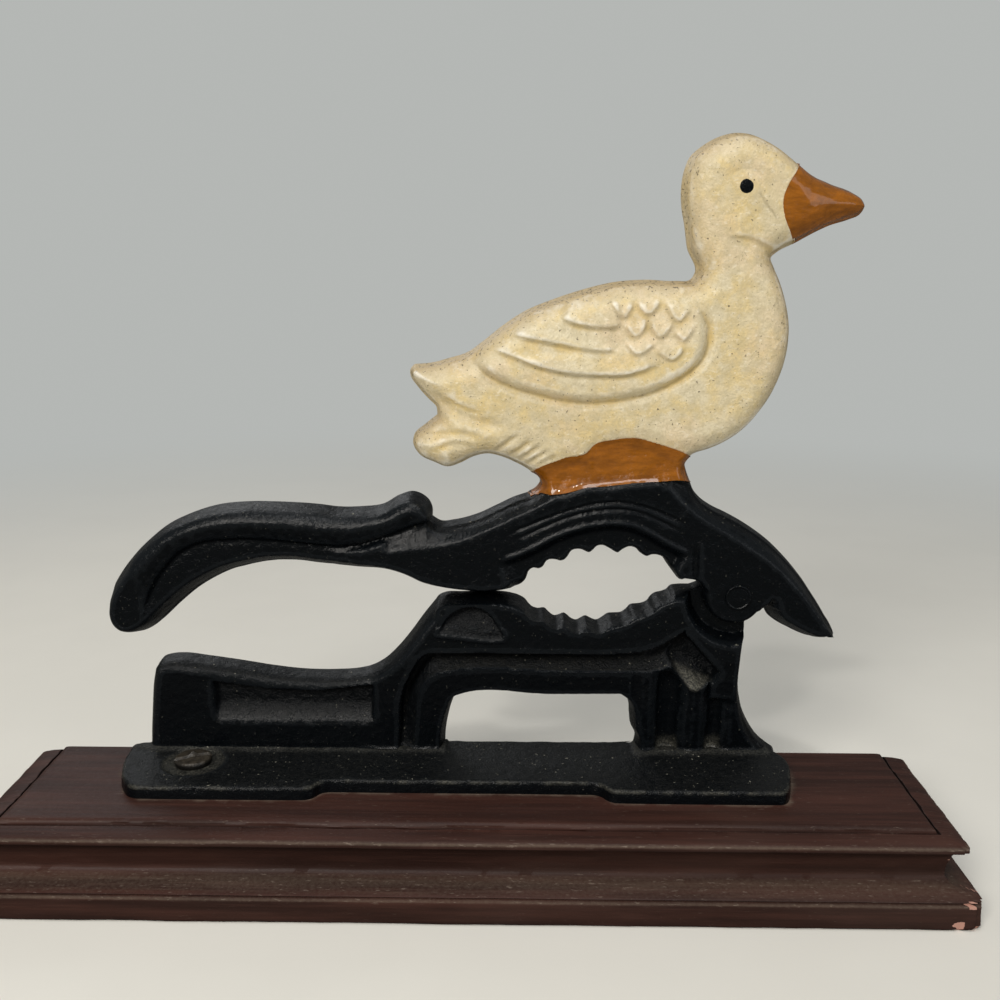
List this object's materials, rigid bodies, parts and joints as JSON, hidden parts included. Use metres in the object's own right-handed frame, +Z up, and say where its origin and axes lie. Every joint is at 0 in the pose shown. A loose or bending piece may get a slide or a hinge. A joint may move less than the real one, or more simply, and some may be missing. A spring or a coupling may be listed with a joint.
{
  "type": "lever nutcracker press",
  "caption": "Cast lever nutcracker on a moulded wooden plinth: a hinged lever carrying a goose closes a toothed jaw on a fixed one.",
  "frame": {"origin": "middle of the bounding box, at the plinth's underside", "axes": "+X along the plinth towards the pivot and the goose's beak, +Y towards the flat back, +Z up"},
  "size_m": [0.254, 0.051, 0.1906],
  "materials": {
    "plinth_wood": "aged maroon-brown stain over long grain, dusty in the moulding",
    "black_iron": "worn black enamel over a lumpy casting",
    "cream_paint": "old cream enamel on the casting, stained ochre in its grooves",
    "orange_paint": "glossy orange-brown enamel with brush marks",
    "screw_steel": "darkened, rough"
  },
  "bodies": {
    "base": {"plinth_board": "plinth_wood", "base_casting": "black_iron", "pivot_rivet": "black_iron", "plate_screw": "screw_steel", "under_screw": "screw_steel"},
    "lever": {"lever_casting": "black_iron", "goose_mound": "orange_paint", "goose_body": "cream_paint", "goose_beak": "orange_paint"}
  },
  "joints": [
    {"name": "lever_pivot", "type": "hinge", "parent": "base", "child": "lever", "pos_m": [0.072, 0.02, 0.0718], "axis": [0, 1, 0], "range_deg": [0, 35]}
  ]
}
